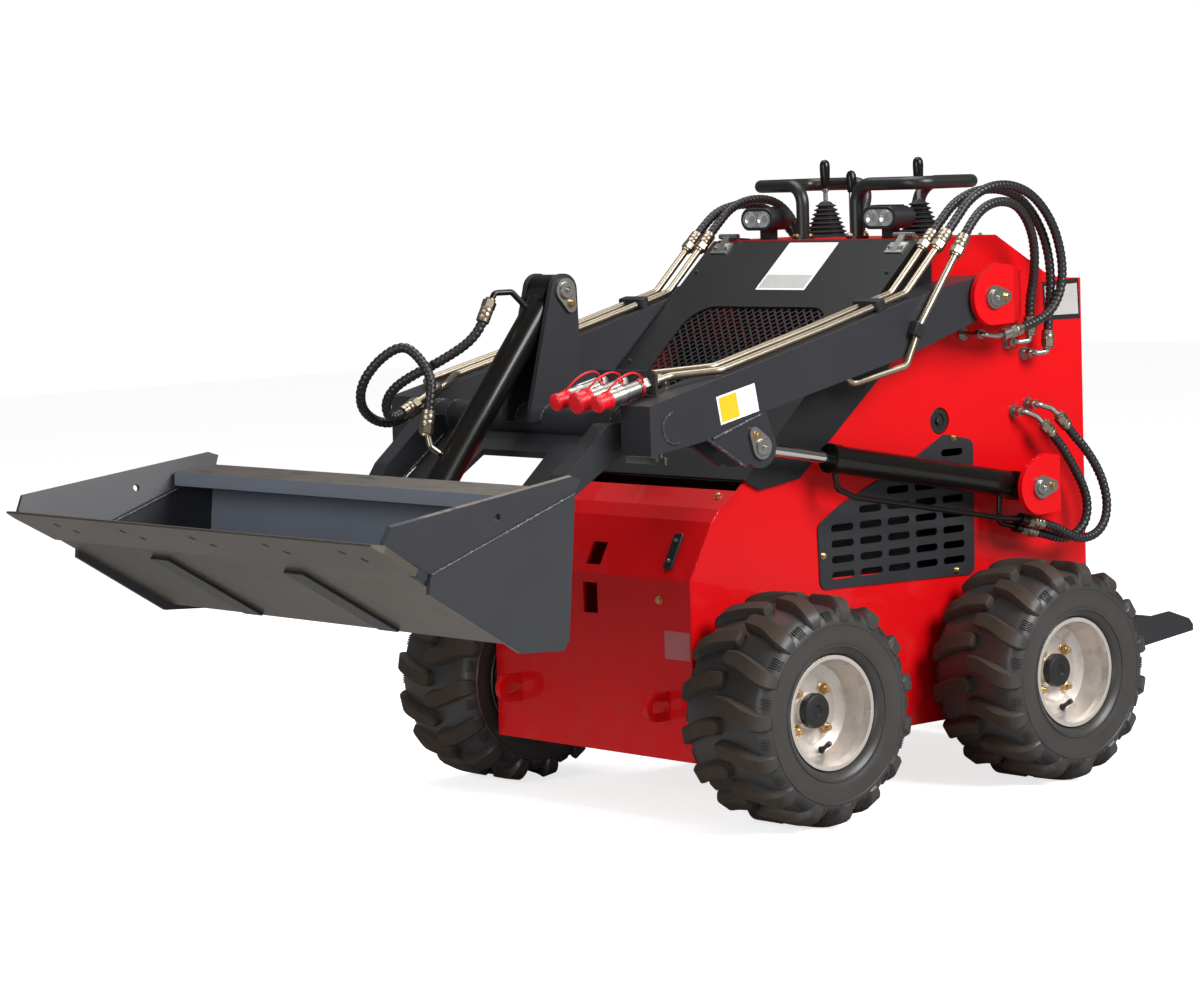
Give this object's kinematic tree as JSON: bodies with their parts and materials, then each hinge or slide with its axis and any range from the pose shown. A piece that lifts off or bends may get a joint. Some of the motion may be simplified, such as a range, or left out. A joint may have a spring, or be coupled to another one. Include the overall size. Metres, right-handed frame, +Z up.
{
  "type": "stand-on mini skid steer loader",
  "caption": "Compact stand-on skid steer loader with a lifting boom, tilting bucket, opening hood, folding rear platform and lugged tyres.",
  "frame": {"origin": "on the ground, under the middle of the overall length from bucket lip to platform end and of the width", "axes": "+Z up; -Y forward, towards the bucket; +X the machine's left side; X is the symmetry axis; Y is the longest extent"},
  "size_m": [1.194, 2.551, 1.297],
  "materials": {
    "red_paint": "gloss",
    "grey_paint": "satin",
    "zinc": "satin",
    "engine": "matt",
    "black_metal": "gloss",
    "black_plastic": "matt",
    "gold_tube": "satin",
    "red_plastic": "gloss",
    "hose": "matt",
    "chrome": "polished",
    "steel": "satin",
    "grille": "matt",
    "tyre": "matt",
    "rim": "satin"
  },
  "bodies": {
    "chassis": {"side_panels": "red_paint", "front_plate": "red_paint", "floor_plate": "red_paint", "console": "red_paint", "rear_panel": "red_paint", "vent_plates": "grey_paint", "pivot_brackets": "red_paint", "pivot_pins": "zinc", "engine_block": "engine", "cooler": "engine", "wheel_motors": "engine", "hinge_brackets": "zinc", "handle_bars": "black_metal", "control_levers": "black_plastic", "work_lamps": "black_plastic", "platform_brackets": "grey_paint", "hose_fittings": "zinc", "lift_hoses_left": "hose", "lift_hoses_right": "hose"},
    "boom": {"boom_arms": "grey_paint", "boom_front": "grey_paint", "tilt_bracket": "grey_paint", "boom_pins": "zinc", "boom_tubes": "gold_tube", "aux_couplers": "zinc", "coupler_caps": "red_plastic", "boom_hoses": "hose", "tilt_hoses": "hose"},
    "lift_barrel_left": {"lift_barrel_left": "black_metal"},
    "lift_barrel_right": {"lift_barrel_right": "black_metal"},
    "lift_rod_left": {"lift_rod_left": "chrome"},
    "lift_rod_right": {"lift_rod_right": "chrome"},
    "tilt_barrel": {"tilt_barrel": "black_metal"},
    "tilt_rod": {"tilt_rod": "chrome"},
    "bucket": {"bucket_shell": "grey_paint", "cutting_edge": "steel", "bucket_sides": "grey_paint", "quick_coupler": "grey_paint"},
    "hood": {"hood": "grey_paint", "hood_grille": "grille", "hinge_leaves": "zinc"},
    "platform": {"platform": "grey_paint"},
    "wheel_front_left": {"tyre_front_left": "tyre", "rim_front_left": "rim"},
    "wheel_front_right": {"tyre_front_right": "tyre", "rim_front_right": "rim"},
    "wheel_rear_left": {"tyre_rear_left": "tyre", "rim_rear_left": "rim"},
    "wheel_rear_right": {"tyre_rear_right": "tyre", "rim_rear_right": "rim"}
  },
  "joints": [
    {"name": "wheel_front_left_spin", "type": "hinge", "parent": "chassis", "child": "wheel_front_left", "pos_m": [0.448, -0.1375, 0.228], "axis": [1, 0, 0], "continuous": true},
    {"name": "wheel_front_right_spin", "type": "hinge", "parent": "chassis", "child": "wheel_front_right", "pos_m": [-0.448, -0.1375, 0.228], "axis": [1, 0, 0], "continuous": true},
    {"name": "wheel_rear_left_spin", "type": "hinge", "parent": "chassis", "child": "wheel_rear_left", "pos_m": [0.448, 0.5625, 0.228], "axis": [1, 0, 0], "continuous": true},
    {"name": "wheel_rear_right_spin", "type": "hinge", "parent": "chassis", "child": "wheel_rear_right", "pos_m": [-0.448, 0.5625, 0.228], "axis": [1, 0, 0], "continuous": true},
    {"name": "boom_lift", "type": "hinge", "parent": "chassis", "child": "boom", "pos_m": [0, 0.481, 1.0048], "axis": [-1, 0, 0], "range_deg": [-17.5, 65], "deforming": ["boom_hoses"]},
    {"name": "bucket_tilt", "type": "hinge", "parent": "boom", "child": "bucket", "pos_m": [0, -0.7275, 0.45], "axis": [1, 0, 0], "range_deg": [0, 90]},
    {"name": "lift_barrel_left_swing", "type": "hinge", "parent": "chassis", "child": "lift_barrel_left", "pos_m": [0.3585, 0.611, 0.6021], "axis": [-1, 0, 0], "range_deg": [-12.5, 45], "deforming": ["lift_hoses_left"]},
    {"name": "lift_rod_left_slide", "type": "slide", "parent": "lift_barrel_left", "child": "lift_rod_left", "axis": [0, -0.9841, 0.1773], "range_m": [-0.092, 0.336]},
    {"name": "lift_barrel_right_swing", "type": "hinge", "parent": "chassis", "child": "lift_barrel_right", "pos_m": [-0.3585, 0.611, 0.6021], "axis": [-1, 0, 0], "range_deg": [-12.5, 45], "deforming": ["lift_hoses_right"]},
    {"name": "lift_rod_right_slide", "type": "slide", "parent": "lift_barrel_right", "child": "lift_rod_right", "axis": [0, -0.9841, 0.1773], "range_m": [-0.092, 0.336]},
    {"name": "tilt_barrel_swing", "type": "hinge", "parent": "boom", "child": "tilt_barrel", "pos_m": [0, -0.3595, 1.056], "axis": [1, 0, 0], "range_deg": [-5, 1], "deforming": ["tilt_hoses"]},
    {"name": "tilt_rod_slide", "type": "slide", "parent": "tilt_barrel", "child": "tilt_rod", "axis": [0, -0.628, -0.7782], "range_m": [0, 0.21]},
    {"name": "hood_open", "type": "hinge", "parent": "chassis", "child": "hood", "pos_m": [0, 0.3785, 1.137], "axis": [-1, 0, 0], "range_deg": [0, 55]},
    {"name": "platform_fold", "type": "hinge", "parent": "chassis", "child": "platform", "pos_m": [0, 0.9, 0.232], "axis": [1, 0, 0], "range_deg": [0, 80]}
  ],
  "couplings": [
    {"joint": "lift_barrel_left_swing", "follows": "boom_lift", "ratio": 0.68},
    {"joint": "lift_rod_left_slide", "follows": "boom_lift", "m_per_rad": 0.29507},
    {"joint": "lift_barrel_right_swing", "follows": "boom_lift", "ratio": 0.68},
    {"joint": "lift_rod_right_slide", "follows": "boom_lift", "m_per_rad": 0.29507},
    {"joint": "tilt_barrel_swing", "follows": "bucket_tilt", "ratio": -0.044},
    {"joint": "tilt_rod_slide", "follows": "bucket_tilt", "m_per_rad": 0.13293}
  ]
}
